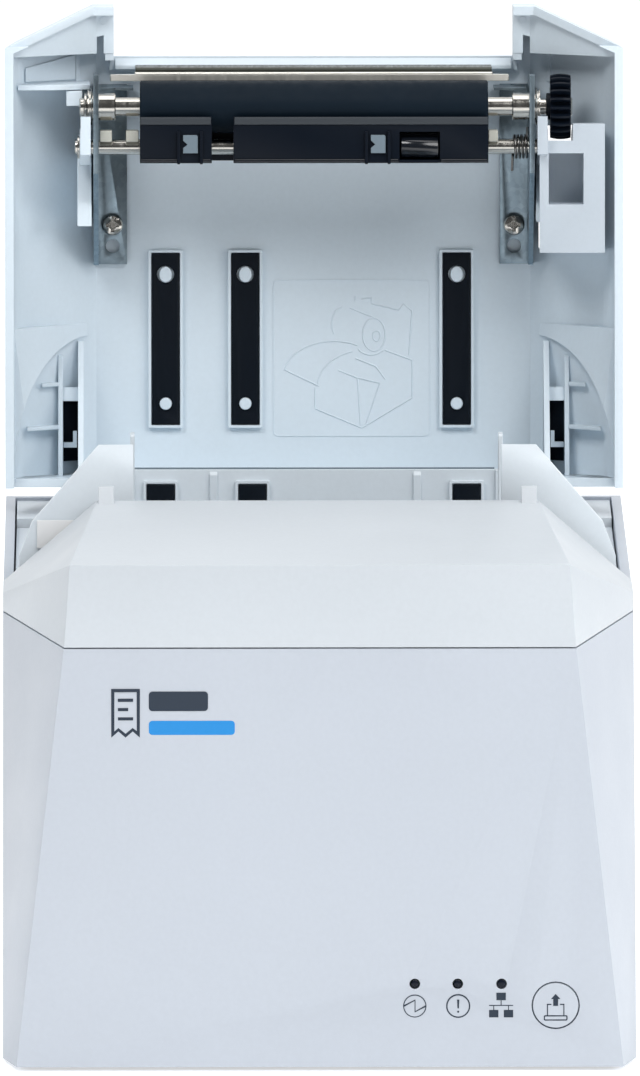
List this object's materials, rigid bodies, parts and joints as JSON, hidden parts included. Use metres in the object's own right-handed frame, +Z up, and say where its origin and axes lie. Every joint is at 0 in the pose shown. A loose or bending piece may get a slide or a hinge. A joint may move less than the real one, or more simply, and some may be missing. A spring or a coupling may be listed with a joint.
{
  "type": "receipt printer",
  "caption": "Desktop thermal receipt printer with a faceted white housing, its rear cover open on the platen, paper guide and roll bucket.",
  "frame": {"origin": "middle of the footprint of the printer with its cover open, on the surface it stands on", "axes": "+X to the right seen from the front, +Y from the front face to the back, +Z up"},
  "size_m": [0.142, 0.2146, 0.2129],
  "materials": {
    "case_plastic": "cool white moulded plastic with a fine spark-eroded texture",
    "cover_plastic": "cool white moulded plastic",
    "base_plastic": "grey moulded plastic",
    "black_plastic": "black moulded plastic",
    "gloss_black": "glossy black plastic",
    "strip_black": "black low-friction strip",
    "rubber": "ground black rubber",
    "zinc_steel": "zinc plated sheet steel",
    "polished_steel": "polished steel",
    "spring_steel": "oiled spring wire",
    "head_ceramic": "glazed ceramic head on an aluminium block",
    "circuit_board": "green circuit board",
    "label_paper": "blank white label"
  },
  "bodies": {
    "body": {"lower_case": "case_plastic", "front_bezel": "case_plastic", "base_plate": "base_plastic", "foot_front_left": "rubber", "foot_front_right": "rubber", "foot_rear_left": "rubber", "foot_rear_right": "rubber", "lamp_power": "black_plastic", "lamp_error": "black_plastic", "lamp_network": "black_plastic", "panel_board": "circuit_board", "power_inlet": "black_plastic", "usb_port": "base_plastic", "lan_port": "base_plastic", "drawer_port": "base_plastic", "paper_bucket": "case_plastic", "bucket_strip_left": "strip_black", "bucket_strip_middle": "strip_black", "bucket_strip_right": "strip_black", "tower_left": "case_plastic", "tower_right": "case_plastic", "rear_deck": "case_plastic", "hinge_pin_left": "zinc_steel", "hinge_pin_right": "zinc_steel", "chassis_frame": "zinc_steel", "head_spring_left": "spring_steel", "head_spring_right": "spring_steel", "cutter_unit": "base_plastic", "cutter_motor": "zinc_steel", "feed_motor": "zinc_steel", "main_board": "circuit_board", "power_supply": "zinc_steel", "blank_label": "label_paper"},
    "cover": {"cover_shell": "cover_plastic", "cover_strip_left": "strip_black", "cover_strip_middle": "strip_black", "cover_strip_right": "strip_black", "bracket_left": "zinc_steel", "bracket_right": "zinc_steel", "bracket_screw_left": "polished_steel", "bracket_screw_right": "polished_steel", "fixed_blade": "polished_steel", "platen_bush_left": "polished_steel", "platen_bush_right": "polished_steel", "paper_guide": "black_plastic", "lever_spring": "spring_steel"},
    "platen": {"platen_shaft": "polished_steel", "platen_rubber": "rubber", "platen_gear": "black_plastic"},
    "guide_roller": {"guide_roller": "gloss_black"},
    "release_lever": {"lever_shaft": "polished_steel", "release_lever": "cover_plastic", "left_latch": "cover_plastic"},
    "feed_button": {"feed_button": "case_plastic"},
    "power_switch": {"power_switch": "black_plastic"},
    "print_head": {"print_head": "head_ceramic"},
    "cutter_blade": {"cutter_blade": "polished_steel"},
    "idler_gear": {"idler_gear": "black_plastic"},
    "motor_pinion": {"motor_pinion": "polished_steel"}
  },
  "joints": [
    {"name": "cover_hinge", "type": "hinge", "parent": "body", "child": "cover", "pos_m": [0, 0.06974, 0.104], "axis": [1, 0, 0], "range_deg": [0, 95]},
    {"name": "platen_spin", "type": "hinge", "parent": "cover", "child": "platen", "pos_m": [0, 0.0804, 0.19145], "axis": [1, 0, 0], "continuous": true},
    {"name": "guide_roller_spin", "type": "hinge", "parent": "cover", "child": "guide_roller", "pos_m": [0.02, 0.07383, 0.18294], "axis": [1, 0, 0], "continuous": true},
    {"name": "release_lever_turn", "type": "hinge", "parent": "cover", "child": "release_lever", "pos_m": [0, 0.08059, 0.18215], "axis": [1, 0, 0], "range_deg": [0, 6], "stiffness_Nm_per_rad": 0.4, "springref_deg": -11.46, "deforming": ["lever_spring"]},
    {"name": "feed_button_press", "type": "slide", "parent": "body", "child": "feed_button", "axis": [0, 1, 0], "range_m": [0, 0.0008], "stiffness_N_per_m": 800, "springref_m": -0.0008},
    {"name": "power_switch_rock", "type": "hinge", "parent": "body", "child": "power_switch", "pos_m": [0.0515, 0.09274, 0.019], "axis": [1, 0, 0], "range_deg": [0, 12]},
    {"name": "print_head_tilt", "type": "hinge", "parent": "body", "child": "print_head", "pos_m": [0, -0.02826, 0.096], "axis": [1, 0, 0], "range_deg": [0, 3], "stiffness_Nm_per_rad": 5, "springref_deg": -2.29, "deforming": ["head_spring_left", "head_spring_right"]},
    {"name": "cutter_blade_slide", "type": "slide", "parent": "body", "child": "cutter_blade", "axis": [0, 1, 0], "range_m": [0, 0.005]},
    {"name": "idler_spin", "type": "hinge", "parent": "body", "child": "idler_gear", "pos_m": [0.0541, -0.01426, 0.0916], "axis": [1, 0, 0], "continuous": true},
    {"name": "motor_pinion_spin", "type": "hinge", "parent": "body", "child": "motor_pinion", "pos_m": [0.0541, -0.02476, 0.0848], "axis": [1, 0, 0], "continuous": true}
  ],
  "couplings": [
    {"joint": "motor_pinion_spin", "follows": "idler_spin", "ratio": -2}
  ]
}
